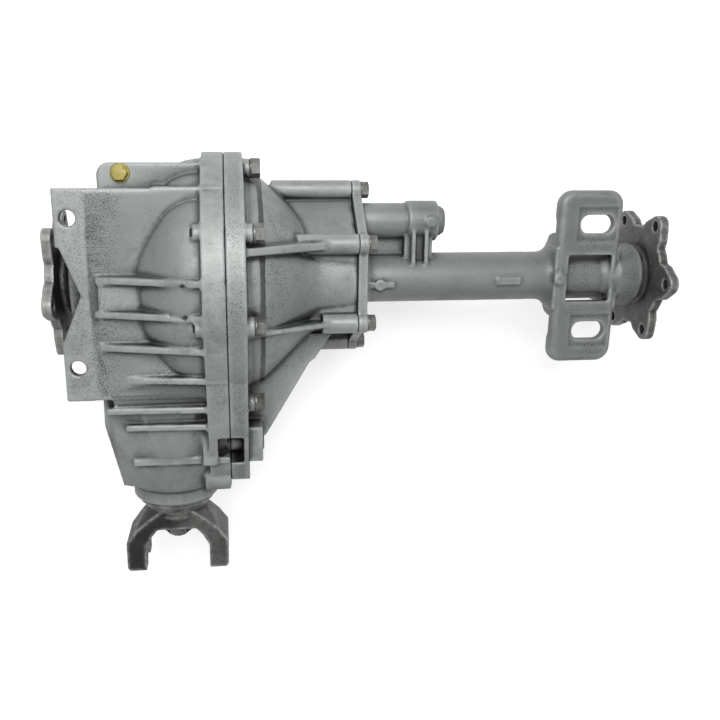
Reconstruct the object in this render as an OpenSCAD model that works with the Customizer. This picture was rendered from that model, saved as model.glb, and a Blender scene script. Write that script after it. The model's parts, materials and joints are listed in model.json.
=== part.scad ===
// Front differential with a split aluminium case, an axle tube and a shift sleeve that connects the
// right output.
// X runs along the axle towards the tube, Y forwards and Z up. The origin is the left output flange's face.

/* [Overall layout] */
// From the left output flange's face to the plane where the case halves meet
left_face = 190; // [186:1:205]
// From that plane to the right output flange's face
right_face = 503; // [500:1:530]
// From that plane to the pinion's axis
pinion_offset = 67; // [65:0.5:69]
// From the axle's axis to the end of the pinion shaft
pinion_end = 316; // [313:1:322]
// Running clearance between round pieces, on the radius
run_gap = 0.05; // [0.02:0.01:0.09]
// Gap between faces that turn past each other
face_gap = 0.5; // [0.3:0.1:0.8]

/* [Gears] */
// Outer diameter of the ring gear at its pitch circle
ring_d = 235; // [233:0.5:236]
// Teeth of the ring gear
ring_teeth = 41; // [41]
// Teeth of the pinion
pinion_teeth = 11; // [11]
// Length of the ring gear's teeth along the cone
ring_face = 36; // [30:1:37]
// Spiral angle of the teeth at the middle of their length
spiral = 30; // [0:1:35]
// Thickness taken off each tooth for backlash, as a share of the pitch
backlash = 0.035; // [0.03:0.005:0.06]
// Module of the side and spider gears at their outer end
side_module = 5; // [4.6:0.1:5]
// Teeth of a side gear
side_teeth = 16; // [16]
// Teeth of a spider gear
spider_teeth = 10; // [10]
// Length of a side gear's teeth along the cone
side_face = 15; // [12:1:17]

/* [Carrier] */
// Width of the face between the carrier's body and the ring gear's bore
carrier_step = 7.23; // [5:0.01:10]
// Width of the carrier's flange outside the holes of the ring gear's bolts
flange_edge = 8; // [5:0.5:10]
// Thickness of that flange
carrier_flange_t = 12; // [8:0.5:12]
// Wall between the ring gear's bore and the holes of its bolts
ring_bolt_wall = 10.77; // [9:0.01:12]
// Number of ring gear bolts
ring_bolts = 12; // [8:1:14]
// Shank radius of a ring gear bolt
ring_bolt_r = 6; // [5:0.5:6]
// Radius of the cross pin
cross_pin_r = 10; // [8:0.5:11]
// Radius of the pin that locks the cross pin
lock_pin_r = 3; // [2:0.25:3.5]
// Thickness of the thrust washers behind the side and spider gears
thrust_t = 1.5; // [1:0.25:2]

/* [Bearings] */
// Radius of the bearing seats on the carrier
carrier_seat_r = 30; // [29:0.5:32]
// Outer radius of the carrier bearings
carrier_cup_r = 55; // [53:0.5:57]
// Width of the carrier bearings
carrier_bearing_w = 28; // [25:1:30]
// Radius of the pinion shaft at its inner bearing
pinion_seat_r = 23; // [21:0.5:24]
// Outer radius of the pinion's inner bearing
pinion_inner_cup_r = 45; // [43:0.5:46]
// Width of the pinion's inner bearing
pinion_inner_w = 28; // [25:1:30]
// Radius of the pinion shaft at its outer bearing
pinion_outer_seat_r = 17; // [16:0.5:18]
// Outer radius of the pinion's outer bearing
pinion_outer_cup_r = 35; // [34:0.5:37]
// Width of the pinion's outer bearing
pinion_outer_w = 22; // [20:1:24]
// Rollers in each tapered bearing
rollers = 16; // [12:1:17]
// Slope of the rollers against the shaft, in degrees
roller_slope = 13; // [10:0.5:16]

/* [Shafts] */
// Radius of the output shafts
shaft_r = 17; // [16:0.5:17.5]
// Radius over the teeth of the sleeve's splines
clutch_r = 15.5; // [14.5:0.25:16]
// Teeth of the splines
spline_teeth = 24; // [24]
// Travel of the shift sleeve
shift_travel = 15; // [13:0.5:16]
// Outer radius of the shift sleeve
sleeve_r = 22.5; // [21.5:0.25:23]
// Length of the shift sleeve
sleeve_w = 30; // [28:1:31]

/* [Case] */
// Thickness of the split flange on the left half
left_flange_t = 24; // [20:1:26]
// Thickness of the split flange on the right half
right_flange_t = 20; // [18:1:22]
// Room between the ring gear and the case
gear_room_gap = 4.5; // [3:0.5:6]
// Radius of the shank of a case bolt
case_bolt_r = 6; // [5:0.5:6]
// Wall between the cavity and a case bolt
bolt_wall = 3.5; // [3:0.5:5]
// Wall of the boss round a case bolt
boss_wall = 4; // [3.5:0.5:5]
// Distance from the axle to the low end of the left split flange
flange_low = 240; // [238:1:244]
// Thickness of the cooling ribs
rib_t = 7; // [5:0.5:9]
// Height of the frame pad's face above the axle
pad_z = 97; // [95:1:100]
// Thickness of the frame pad
pad_t = 10; // [8:0.5:12]
// Distance between the two holes of the frame pad
pad_hole_spacing = 152.8; // [150:0.5:156]
// Radius of those holes
pad_hole_r = 8; // [6:0.25:8.5]
// Distance from the pad's free edge to its holes
pad_hole_inset = 13.5; // [12:0.5:15]
// Radius of the pinion nose at its ring
nose_r = 51; // [49:0.5:52]

/* [Axle tube] */
// Outer radius of the tube
tube_r = 28.5; // [28:0.5:30]
// Inner radius of the tube
tube_bore_r = 24; // [23.5:0.25:24.5]
// From the split plane to the tube's flange face
tube_start = 143; // [142:1:150]
// Thickness of the tube's flange
tube_flange_t = 11; // [9:0.5:12]
// Radius of the shank of a tube bolt
tube_bolt_r = 5; // [4:0.5:5]
// Height of the bracket's face above the axle
bracket_z = 33; // [31:0.5:35]
// Thickness of the bracket
bracket_t = 12; // [10:0.5:13]
// Length of the bracket across the tube
bracket_l = 201; // [196:1:206]
// Width of the bracket along the tube
bracket_w = 78; // [76:1:80]
// Distance between the bracket's two slots
slot_spacing = 124.6; // [122:0.5:128]
// Length of a slot from end to end
slot_l = 40; // [34:1:42]
// Width of a slot
slot_w = 21.4; // [18:0.2:22]

/* [Output flanges and yoke] */
// Radius of the circle of the flange bolts
flange_circle = 70.3; // [69:0.1:72]
// Bolt holes in an output flange
flange_holes = 6; // [6]
// Radius of those holes in the left flange
flange_hole_r = 5.5; // [5:0.25:6.5]
// Extra radius of the holes in the right flange
right_hole_extra = 0.25; // [0.2:0.05:0.5]
// Thickness of an output flange
flange_t = 10; // [9:0.5:12]
// Radius of a lobe round a flange hole
lobe_r = 12.2; // [11:0.1:13]
// Distance between the outer sides of the yoke's ears
yoke_w = 122; // [120:1:124]
// Distance between the inner sides of the yoke's ears
yoke_gap = 76; // [74:1:78]
// Radius of the bearing seats in the yoke
yoke_seat_r = 13.5; // [12:0.25:14]
// Distance between the strap bolts of one ear
strap_spacing = 42; // [41:0.5:44]
// Radius of the strap bolt holes
strap_hole_r = 3.4; // [2.5:0.1:4]

/* [Hidden] */
$fn = 64;

CAST = "#aeb5b1";
STEEL = "#8d8f8e";
DARK_STEEL = "#5d5b57";
RACE = "#a3a6a8";
RUBBER = "#26282a";
BRASS = "#b09a3c";

// Places along the axle, measured from the split plane
mesh_x = -pinion_offset;
eps = 0.01;

// Split flange
gear_room_r = ring_d / 2 + gear_room_gap;
case_bolt_circle = gear_room_r + bolt_wall + case_bolt_r;
case_boss_r = case_bolt_r + boss_wall;
case_boss_t = 8;
split_r = case_bolt_circle + case_boss_r + 0.5;
right_low = flange_low - 8;

// Ring gear and pinion: the cones meet at the crossing of the two axes
gear_module = ring_d / ring_teeth;
ring_cone = atan(ring_teeth / pinion_teeth);
pinion_cone = 90 - ring_cone;
cone_dist = ring_d / 2 / sin(ring_cone);
ring_add = 0.35 * gear_module;
pinion_add = 1.05 * gear_module;
tooth_root_gap = 0.25 * gear_module;
ring_ded = pinion_add + tooth_root_gap;
pinion_ded = ring_add + tooth_root_gap;
tooth_rim = 2.4;
rim_inset = 0.7;
gear_slices = 6;
ring_back_x = mesh_x + cone_dist * cos(ring_cone) + 26;
ring_bore_r = (cone_dist - ring_face) * sin(ring_cone) - 5.5;
carrier_r = ring_bore_r - carrier_step;
ring_bolt_circle = ring_bore_r + ring_bolt_wall + ring_bolt_r;
carrier_flange_r = ring_bolt_circle + ring_bolt_r + flange_edge;
spiral_pitches = ring_teeth * tan(spiral) / (2 * PI * sin(ring_cone));

// Side and spider gears
side_cone = atan(side_teeth / spider_teeth);
spider_cone = 90 - side_cone;
side_dist = side_module * side_teeth / 2 / sin(side_cone);
side_add = 0.6 * side_module;
spider_add = 0.9 * side_module;
side_root_gap = 0.2 * side_module;
side_ded = spider_add + side_root_gap;
spider_ded = side_add + side_root_gap;
side_back = side_dist * cos(side_cone) + 11;
side_hub_r = 26;
side_hub_end = side_back + 9;
side_toe = toe_point(side_cone, side_dist, side_face, side_ded)[0] - 1;
spline_depth = 1.6;
retainer_t = 2;
retainer_x = side_toe - retainer_t - 0.3;
retainer_r = shaft_r - spline_depth - 0.8;
shaft_end = retainer_x - 2.5;
spider_back = side_dist * cos(spider_cone) + 9;
spider_hub_r = side_module * spider_teeth / 2 - 1;

// Carrier and its bearings
room_half = side_back + thrust_t;
carrier_left_x = mesh_x - side_hub_end - 3;
carrier_flange_x = ring_back_x;
carrier_right_x = carrier_flange_x + carrier_flange_t;
bolt_head_t = 7;
shoulder_t = bolt_head_t + 2;
left_seat_x = carrier_left_x - 4;
right_seat_x = carrier_right_x + shoulder_t;
left_seat_end = left_seat_x - carrier_bearing_w;
right_seat_end = right_seat_x + carrier_bearing_w;
adjuster_t = 10;
trunnion_bore_r = shaft_r + 1.5;
case_wall = 8;
left_end_x = left_seat_end - adjuster_t - case_wall;
right_room_x = carrier_right_x + bolt_head_t + 3.5;

// Output flanges
hub_r = 26;
seal_r = hub_r + 9;
left_flange_x = -left_face;
left_flange_in = left_flange_x + flange_t;
right_flange_in = right_face - flange_t;
seal_w = 10;
left_hub_end = left_seat_end - adjuster_t + 3;

// Pinion shaft, measured from the axle's axis
head_back = cone_dist * cos(pinion_cone) + 4;
inner_seat_end = head_back + pinion_inner_w;
outer_seat = inner_seat_end + 68;
outer_seat_end = outer_seat + pinion_outer_w;
seal_end = outer_seat_end + 13;
nose_start = outer_seat_end - 12;
nose_end = outer_seat_end + 18;
seal_bore_r = pinion_outer_cup_r + 3;
hub_face = outer_seat_end + 58;
yoke_hub_r = 25;
yoke_back = outer_seat_end + 34;
yoke_tip = pinion_end + 34;
strap_half = strap_spacing / 2 + 9;

// Clutch, actuator and right shaft
clutch_end = 215;
sleeve_x = clutch_end + 5;
groove_w = 8;
groove_x = sleeve_x + 4;
groove_r = sleeve_r - 3;
actuator_y = 65.5;
actuator_r = 20.5;
actuator_big_r = 23;
actuator_start = 208;
actuator_end = 243;
fork_room = 12.5;
fork_margin = 1.5;
fork_room_x = groove_x - shift_travel - fork_margin;
fork_room_l = groove_w + shift_travel + 2 * fork_margin;
fork_wall = 3.5;
rod_r = 6;
plug_r = 15;
plug_x = actuator_end - 10;
rod_bore_x = tube_start + 7;
rod_x0 = rod_bore_x + shift_travel + 1.5;
rod_x1 = plug_x - 1;
spring_x = rod_bore_x + 31;
spring_room_r = rod_r + 8;
pilot_r = 8;
pilot_l = 12;
tube_end_x = right_flange_in - 7;
ball_bearing_w = 18;
ball_bearing_x = tube_end_x - seal_w - 4 - ball_bearing_w;
ball_bearing_r = 31;
snap_x = ball_bearing_x + ball_bearing_w;
tube_housing_r = 37;
snap_t = 2;

// Case bolts, as [Y, Z] seen along the axle
upper_bolts = [for (a = [71, 28, -13]) case_bolt_circle * [sin(a), cos(a)]];
low_bolt = [-183, 42];
half_bolts = concat(upper_bolts, [[-125, 76], low_bolt]);
case_bolt_places = concat(half_bolts, [for (p = half_bolts) [p[0], -p[1]]]);
bolt_washer_r = case_bolt_r + 4.5;
dowel_places = [[-150, 66], [case_bolt_circle * cos(40), -case_bolt_circle * sin(40)]];
dowel_r = 5;
dowel_l = 20;

// Tube bolts, as [Y, Z]
tube_bolt_places = [[100.5, 0], [45, 60], [-42, 60], [-77, -10], [-42, -60], [45, -60]];
tube_boss_r = tube_bolt_r + 6;

// Frame pad
pad_left_x = mesh_x - 100.5;
pad_y0 = -112;
pad_y1 = 105;

module place() {
    translate([left_face, 0, 0]) children();
}

// Turns local Z to +X, local X to Y and local Y to Z
module along_x(x = 0) {
    translate([x, 0, 0]) rotate([90, 0, 90]) children();
}

// Turns local Z towards the yoke, on the pinion's axis
module along_pinion(d = 0) {
    translate([mesh_x, -d, 0]) rotate([90, 0, 0]) children();
}

module rod_x(x0, x1, r) {
    along_x(x0) cylinder(h = x1 - x0, r = r);
}

// points are [place along the axis, radius]
module turned(points) {
    rotate_extrude() polygon([for (p = points) [p[1], p[0]]]);
}

module ring(h, outer, inner) {
    difference() {
        cylinder(h = h, r = outer);
        translate([0, 0, -1]) cylinder(h = h + 2, r = inner);
    }
}

module hexagon(h, across) {
    cylinder(h = h, r = across / sqrt(3), $fn = 6);
}

// A bolt with its head above z = 0 and its shank below
module bolt(shank_r, shank_l, across, head_t, washer_r, washer_t) {
    translate([0, 0, -shank_l]) cylinder(h = shank_l + eps, r = shank_r);
    cylinder(h = washer_t, r = washer_r);
    translate([0, 0, washer_t - eps]) hexagon(head_t, across);
}

// Half the angle of a tooth of the virtual spur gear at a share of its pitch radius
function involute(a) = tan(a) * 180 / PI - a;
function roll_angle(share) = cos(20) < share ? acos(cos(20) / share) : 0;
function half_tooth(n, share) =
    (90 - 180 * backlash) / n + involute(20) - involute(roll_angle(share));

// Points of one slice of a bevel gear, at the distance s from the apex
function gear_slice(teeth, cone, s, dist, heights, turn) = [
    for (t = [0 : teeth - 1], side = [-1, 1], k = [0 : len(heights) - 1])
        let (
            h = heights[side < 0 ? k : len(heights) - 1 - k],
            a = half_tooth(teeth / cos(cone), 1 + h / (dist * tan(cone))) / cos(cone),
            r = s * sin(cone) + h * s / dist * cos(cone),
            turned_by = t * 360 / teeth + side * a + turn
        )
        [r * cos(turned_by), r * sin(turned_by), s * cos(cone) - h * s / dist * sin(cone)]
];

// The same points dropped to one depth below the pitch cone
function gear_floor(points, cone, s, dist, depth) = [
    for (p = points)
        let (r = s * sin(cone) - depth * s / dist * cos(cone), a = atan2(p[1], p[0]))
        [r * cos(a), r * sin(a), s * cos(cone) + depth * s / dist * sin(cone)]
];

function slice_turn(teeth, s, dist, face, hand) =
    hand * spiral_pitches * ln(s / (dist - face / 2)) * 360 / teeth;

// A closed rim of bevel teeth, apex at the origin, opening upwards
module bevel_rim(teeth, cone, dist, face, heights, slices, hand) {
    depth = -heights[0] + tooth_rim;
    cuts = [for (i = [0 : slices]) dist - face * i / slices];
    rings = [for (s = cuts)
        gear_slice(teeth, cone, s, dist, heights, slice_turn(teeth, s, dist, face, hand))];
    floor_toe = gear_floor(rings[slices], cone, dist - face, dist, depth);
    floor_heel = gear_floor(rings[0], cone, dist, dist, depth);
    all = concat(rings, [floor_toe, floor_heel]);
    n = len(rings[0]);
    m = len(all);
    polyhedron(
        points = [for (r = all, p = r) p],
        faces = [for (i = [0 : m - 1], j = [0 : n - 1])
            let (i2 = (i + 1) % m, j2 = (j + 1) % n)
            for (f = [[i * n + j, i * n + j2, i2 * n + j2], [i * n + j, i2 * n + j2, i2 * n + j]]) f]
    );
}

// A point in the middle of a gear's rim, as [along the axis, radius]
function rim_point(cone, s, dist, ded) =
    let (depth = (ded + tooth_rim * 0.6) * s / dist)
    [s * cos(cone) + depth * sin(cone), s * sin(cone) - depth * cos(cone)];
function toe_point(cone, dist, face, ded) = rim_point(cone, dist - face + rim_inset, dist, ded);
function heel_point(cone, dist, ded) = rim_point(cone, dist - rim_inset, dist, ded);

// Toothed disc for splines
module spline_shape(outer, depth) {
    half = 360 / spline_teeth / 4;
    polygon([for (t = [0 : spline_teeth - 1], k = [[-1.25, outer - depth], [-0.7, outer], [0.7, outer],
        [1.25, outer - depth]]) let (a = t * 360 / spline_teeth + k[0] * half) k[1] * [cos(a), sin(a)]]);
}

// Tapered bearing from z = 0 to w, its large end at z = 0
function roller_r(seat, cup) = (cup - seat) * 0.2;
function roller_mid(seat, cup) = (cup + seat) / 2;
roller_gap = 0.08;

module bearing_cup(seat, cup, w) {
    reach = (roller_r(seat, cup) + roller_gap) / cos(roller_slope);
    mid = roller_mid(seat, cup) + reach;
    slope = tan(roller_slope) * w / 2;
    color(RACE) difference() {
        translate([0, 0, w * 0.08]) cylinder(h = w * 0.9, r = cup);
        translate([0, 0, -eps]) cylinder(h = w + 2 * eps, r1 = mid + slope, r2 = mid - slope);
    }
}

module bearing_cone(seat, cup, w) {
    reach = (roller_r(seat, cup) + roller_gap) / cos(roller_slope);
    mid = roller_mid(seat, cup) - reach;
    slope = tan(roller_slope) * w / 2;
    color(RACE) difference() {
        union() {
            cylinder(h = w, r1 = mid + slope, r2 = mid - slope);
            cylinder(h = w * 0.13, r = mid + slope + roller_r(seat, cup) * 0.7);
        }
        translate([0, 0, -1]) cylinder(h = w + 2, r = seat + run_gap);
    }
}

module bearing_rollers(seat, cup, w) {
    for (i = [0 : rollers - 1])
        color(RACE) rotate([0, 0, i * 360 / rollers]) translate([roller_mid(seat, cup), 0, w / 2])
            rotate([0, -roller_slope, 0])
                cylinder(h = w * 0.62, r = roller_r(seat, cup), center = true, $fn = 24);
}

// The split flange seen along the axle, with its lower part round the pinion. A recess from waist_x0 to
// waist_x1, open above and below, shows the bosses of the lowest bolts.
waist_z = 22;

module split_flange(x0, x1, low, waist_x0, waist_x1) {
    outline = [[-50, split_r - 20], [-150, 88], [16 - flange_low, 53], [-low, 38]];
    waist_h = 80;
    rod_x(x0, x1, split_r, $fn = 128);
    difference() {
        along_x(x0) linear_extrude(x1 - x0)
            polygon(concat(outline, [for (i = [len(outline) - 1 : -1 : 0]) [outline[i][0],
                -outline[i][1]]]));
        for (side = [-1, 1])
            translate([waist_x0, low_bolt[0] - 18, side > 0 ? waist_z : -waist_z - waist_h])
                cube([waist_x1 - waist_x0, 36, waist_h]);
    }
}

// Outside of the left half between the split plane and the bearing boss, as [x, radius]
left_dome = [[eps - left_flange_t, 0], [eps - left_flange_t, gear_room_r + 13], [-40, gear_room_r + 12],
    [-58, gear_room_r + 5], [-77, gear_room_r - 11], [-91, gear_room_r - 23], [-104, gear_room_r - 34],
    [left_seat_x + 1, gear_room_r - 44], [left_seat_x - 10, carrier_cup_r + case_wall],
    [left_end_x, carrier_cup_r + case_wall - 2], [left_end_x, 0]];

// Rib across the left half in the plane y, its upper edge from the flange to the tip
module left_rib(y, flange_z, tip_x, tip_z) {
    for (side = [-1, 1])
        translate([0, y + rib_t / 2, 0]) rotate([90, 0, 0]) linear_extrude(rib_t)
            polygon([[-1, 40 * side], [-1, flange_z * side], [-left_flange_t, flange_z * side],
                [tip_x, tip_z * side], [tip_x, 40 * side]]);
}

pinion_box_left = mesh_x - 61;
box_z = 103;

module pinion_box() {
    hull() {
        translate([pinion_box_left, -10, -box_z]) cube([-pinion_box_left - 2, 24, 2 * box_z]);
        translate([pinion_box_left - 8, -150, -70]) cube([-pinion_box_left + 6, 8, 140]);
        translate([mesh_x - 60, -flange_low, -24]) cube([122, 6, 48]);
        along_pinion(nose_start) cylinder(h = 6, r = nose_r + 6, $fn = 32);
    }
}

module left_case() {
    color(CAST) place() difference() {
        union() {
            along_x() turned(left_dome);
            split_flange(-left_flange_t, 0, flange_low, -14, 1);
            for (p = case_bolt_places) rod_at(p, -left_flange_t - case_boss_t, 0, case_boss_r);
            pinion_box();
            along_pinion() turned([[nose_start - 8, 0], [nose_start - 8, nose_r + 5],
                [nose_start + 10, nose_r + 4], [nose_start + 12, nose_r], [nose_end - 2, nose_r],
                [nose_end, nose_r - 2], [nose_end, 0]]);
            lower_lugs();
            frame_pad();
            fill_ledge();
            left_rib(103, 96, mesh_x - 4, pad_z);
            left_rib(15, split_r - 2, -130, pad_z + 5);
            left_rib(-20, split_r - 3, -133, pad_z + 4);
            left_rib(-55, split_r - 12, -130, pad_z + 1.5);
            left_rib(-91, split_r - 33, -129, pad_z - 3);
            left_rib(-127, split_r - 48, -130, 90);
            left_rib(-150, 84, -112, 80);
            left_rib(-196, 66, -108, 66);
            // Boss of the drain plug
            translate([mesh_x - 30, -60, -pad_z - 22]) cylinder(h = 40, r = 17);
        }
        left_hollow();
    }
}

// Lugs beside the lower end of the split flange
module lower_lugs() {
    rod_at([16 - flange_low, 38], -30, -1, 18);
    translate([-31, low_bolt[0] - 18, 20]) cube([16, 38, 50]);
}

module frame_pad() {
    difference() {
        union() {
            translate([pad_left_x, pad_y0, pad_z - pad_t])
                cube([pad_left_x * -1 - 20, pad_y1 - pad_y0, pad_t]);
            // Raised machined strip along the free edge
            translate([pad_left_x, pad_y0, pad_z - 1]) cube([28, pad_y1 - pad_y0, 2]);
            // Walls that carry the plate down to the case
            for (y = [-104, 84]) translate([-140, y, 0]) cube([115, 14, pad_z - 1]);
            translate([-146, -70, 50]) cube([30, 140, pad_z - 51]);
        }
        translate([0, 0, pad_z - 40]) linear_extrude(60)
            polygon([[pad_left_x - 5, 48], [pad_left_x + 3, 48], [pad_left_x + 21.5, -1],
                [pad_left_x + 1, -49], [pad_left_x - 5, -49]]);
        translate([pad_left_x - 1, -52, 0]) cube([24, 104, pad_z - pad_t]);
    }
}

// Ledge in front of the pad, with the fill plug's boss
module fill_ledge() {
    translate([-129, 60, -42]) difference() {
        cube([106, 70, 104]);
        translate([-1, 57, -1]) difference() {
            cube([14, 14, 106]);
            translate([14, 0, -1]) cylinder(h = 108, r = 13);
        }
    }
}

fill_x = -105;
fill_y = 120;
fill_z = 62;
fill_r = 8;
drain_y = -60;

module left_hollow() {
    // Room of the ring gear and the carrier
    // with the bores of the bearing, its adjuster and the seal
    along_x() turned([[1, 0], [1, gear_room_r], [-44, gear_room_r], [-62, gear_room_r - 6],
        [-82, gear_room_r - 23], [-96, gear_room_r - 36], [mesh_x - 43, carrier_r + 4],
        [left_seat_x + 1, carrier_r - 6], [left_seat_x + 1, carrier_cup_r + run_gap],
        [left_seat_end - adjuster_t, carrier_cup_r + run_gap], [left_seat_end - adjuster_t, seal_r],
        [left_end_x - 1, seal_r], [left_end_x - 1, 0]]);
    // Pinion bores
    along_pinion() turned([[40, 0], [40, pinion_inner_cup_r + run_gap],
        [inner_seat_end, pinion_inner_cup_r + run_gap], [inner_seat_end, pinion_outer_cup_r - 5],
        [outer_seat, pinion_outer_cup_r - 5], [outer_seat, pinion_outer_cup_r + run_gap],
        [outer_seat_end + 2, pinion_outer_cup_r + run_gap], [outer_seat_end + 2, seal_bore_r],
        [nose_end + 1, seal_bore_r], [nose_end + 1, 0]]);
    // Threaded holes of the case bolts
    for (p = case_bolt_places)
        translate([-left_flange_t - case_boss_t - 1, p[0], p[1]]) rotate([0, 90, 0])
            cylinder(h = left_flange_t + case_boss_t + 2, r = case_bolt_r + run_gap);
    for (p = dowel_places)
        translate([-dowel_l / 2, p[0], p[1]]) rotate([0, 90, 0])
            cylinder(h = dowel_l, r = dowel_r + run_gap);
    // Holes of the frame pad
    for (side = [-1, 1])
        translate([pad_left_x + pad_hole_inset, side * pad_hole_spacing / 2, pad_z - pad_t - 30])
            cylinder(h = 60, r = pad_hole_r);
    // Fill and drain holes
    translate([fill_x, fill_y, fill_z - 26]) cylinder(h = 30, r = fill_r + run_gap);
    translate([mesh_x - 30, drain_y, -pad_z - 30]) cylinder(h = 80, r = fill_r + run_gap);
}

// Right half: bell, prism behind the tube's flange, bolt columns, ribs and the lower gusset
prism_points = [for (p = tube_bolt_places) 0.94 * p];

module right_case() {
    color(CAST) place() difference() {
        union() {
            split_flange(0, right_flange_t, right_low, -1, 15);
            for (p = case_bolt_places) rod_at(p, 0, right_flange_t + case_boss_t, case_boss_r);
            along_x() turned([[right_flange_t - 1, 0], [right_flange_t - 1, gear_room_r + 2],
                [right_flange_t + 6, gear_room_r - 2], [38, gear_room_r - 5], [95, 62], [tube_start, 60],
                [tube_start, 0]]);
            along_x(right_flange_t - 1) linear_extrude(tube_start - right_flange_t + 1)
                polygon(prism_points);
            for (p = tube_bolt_places)
                rod_at(p, column_start(p), tube_start, tube_boss_r);
            // Rib from the split flange to the upper column
            for (side = [-1, 1]) {
                bell_rib(40, 8, side, [[20, 40], [20, 128], [28, 124], [118, 64], [118, 40]]);
                bell_rib(-44, 5, side, [[20, 40], [20, 120], [28, 116], [124, 64], [124, 40]]);
            }
            lower_gusset();
            // Blocks beside the lower end of the split flange, one round each low bolt's head
            for (side = [-1, 1])
                translate([right_flange_t - 6, low_bolt[0] - 20, side * 33 - 23])
                    cube([low_block_t, 41, 46]);
            translate([2, -right_low - 4, -30]) cube([20, 28, 60]);
        }
        right_hollow();
    }
}

low_block_t = 23;

function column_start(p) = p[0] > 90 ? 52 : p[0] > 0 ? 76 : 104;

module rod_at(p, x0, x1, r) {
    translate([0, p[0], p[1]]) rod_x(x0, x1, r);
}

// Rib in a plane across Y, as a polygon of [x, z]
module bell_rib(y, t, side, points) {
    translate([0, y + t, 0]) rotate([90, 0, 0]) linear_extrude(t)
        polygon([for (p = points) [p[0], p[1] * side]]);
}

module lower_gusset() {
    translate([0, 0, -24]) linear_extrude(48)
        polygon([[10, -60], [110, -60], [100, -84], [94, -88], [44, -172], [36, -196], [10, -200]]);
    for (side = [-1, 1])
        translate([0, 0, side > 0 ? 18 : -26]) linear_extrude(8)
            polygon([[10, -60], [120, -60], [100, -90], [94, -94], [42, -182], [10, -190]]);
}

module right_hollow() {
    along_x() turned([[-1, 0], [-1, gear_room_r], [right_room_x - 6, gear_room_r],
        [right_room_x, gear_room_r - 8], [right_room_x, carrier_cup_r + run_gap],
        [right_seat_end + adjuster_t, carrier_cup_r + run_gap],
        [right_seat_end + adjuster_t, carrier_cup_r - 5], [tube_start + 1, carrier_cup_r - 5],
        [tube_start + 1, 0]]);
    for (p = case_bolt_places)
        rod_at(p, -1, right_flange_t + case_boss_t + 1, case_bolt_r + run_gap);
    // Recesses for the heads of the lowest bolts
    for (side = [-1, 1])
        rod_at([low_bolt[0], side * low_bolt[1]], right_flange_t + case_boss_t,
            right_flange_t - 5 + low_block_t, bolt_washer_r + 1);
    for (p = dowel_places)
        rod_at(p, -1, dowel_l / 2, dowel_r + run_gap);
    for (p = tube_bolt_places)
        rod_at(p, tube_start - 26, tube_start + 1, tube_bolt_r + run_gap);
}

// Tube with its flange, the actuator's housing, the frame bracket and the bearing's end
bracket_x = tube_start + 275.5;
flare_r = 24;
flare_end = bracket_x - bracket_w / 2 + 12;

module axle_tube() {
    color(CAST) place() difference() {
        union() {
            tube_flange();
            rod_x(tube_start + 1, tube_end_x - 20, tube_r);
            along_x() turned([[tube_start + tube_flange_t - 1, 0],
                [tube_start + tube_flange_t - 1, tube_r + 9], [tube_start + tube_flange_t + 3, tube_r + 4],
                [tube_start + tube_flange_t + 9, tube_r + 1],
                [tube_start + tube_flange_t + 14, tube_r - 1], [tube_start + tube_flange_t + 14, 0]]);
            along_x() turned([[bracket_x + 18, 0], [bracket_x + 18, tube_r - 1],
                [bracket_x + 40, tube_housing_r], [tube_end_x - 2, tube_housing_r],
                [tube_end_x, tube_housing_r - 2], [tube_end_x, 0]]);
            actuator_housing();
            bracket();
            bracket_flare();
        }
        tube_hollow();
    }
}

module tube_flange() {
    along_x(tube_start) linear_extrude(tube_flange_t) polygon([for (p = tube_bolt_places) 1.06 * p]);
    for (p = tube_bolt_places) rod_at(p, tube_start, tube_start + tube_flange_t, tube_boss_r);
}

module actuator_housing() {
    at = [actuator_y, 0];
    rod_at(at, tube_start + 4, actuator_start + 1, actuator_r);
    rod_at(at, actuator_start, actuator_end, actuator_big_r);
    // Fork room between the boss and the tube
    translate([fork_room_x - fork_wall, 10, -fork_room - fork_wall])
        cube([fork_room_l + 2 * fork_wall, 50, 2 * (fork_room + fork_wall)]);
    // Web between the boss and the tube, and thin ribs
    translate([tube_start + 6, 16, -6]) cube([60, 40, 12]);
    for (x = [211, 226])
        translate([x, 8, 0]) rotate([90, 0, 90]) linear_extrude(5)
            polygon([[0, 24], [14, 24], [58, 22], [58, -22], [0, -24]]);
    translate([tube_start + 10, -8, 20]) cube([38, 7, 11.5]);
    translate([174, -4.5, 20]) cylinder(h = 12.5, r = 6.5);
    translate([312, -6.5, 20]) cube([28, 8, 10]);
    // Round pad on top of the boss
    translate([actuator_end - 10, actuator_y, plug_r + 3])
        cylinder(h = actuator_big_r - plug_r - 1.5, r = 6.2);
}

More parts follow.
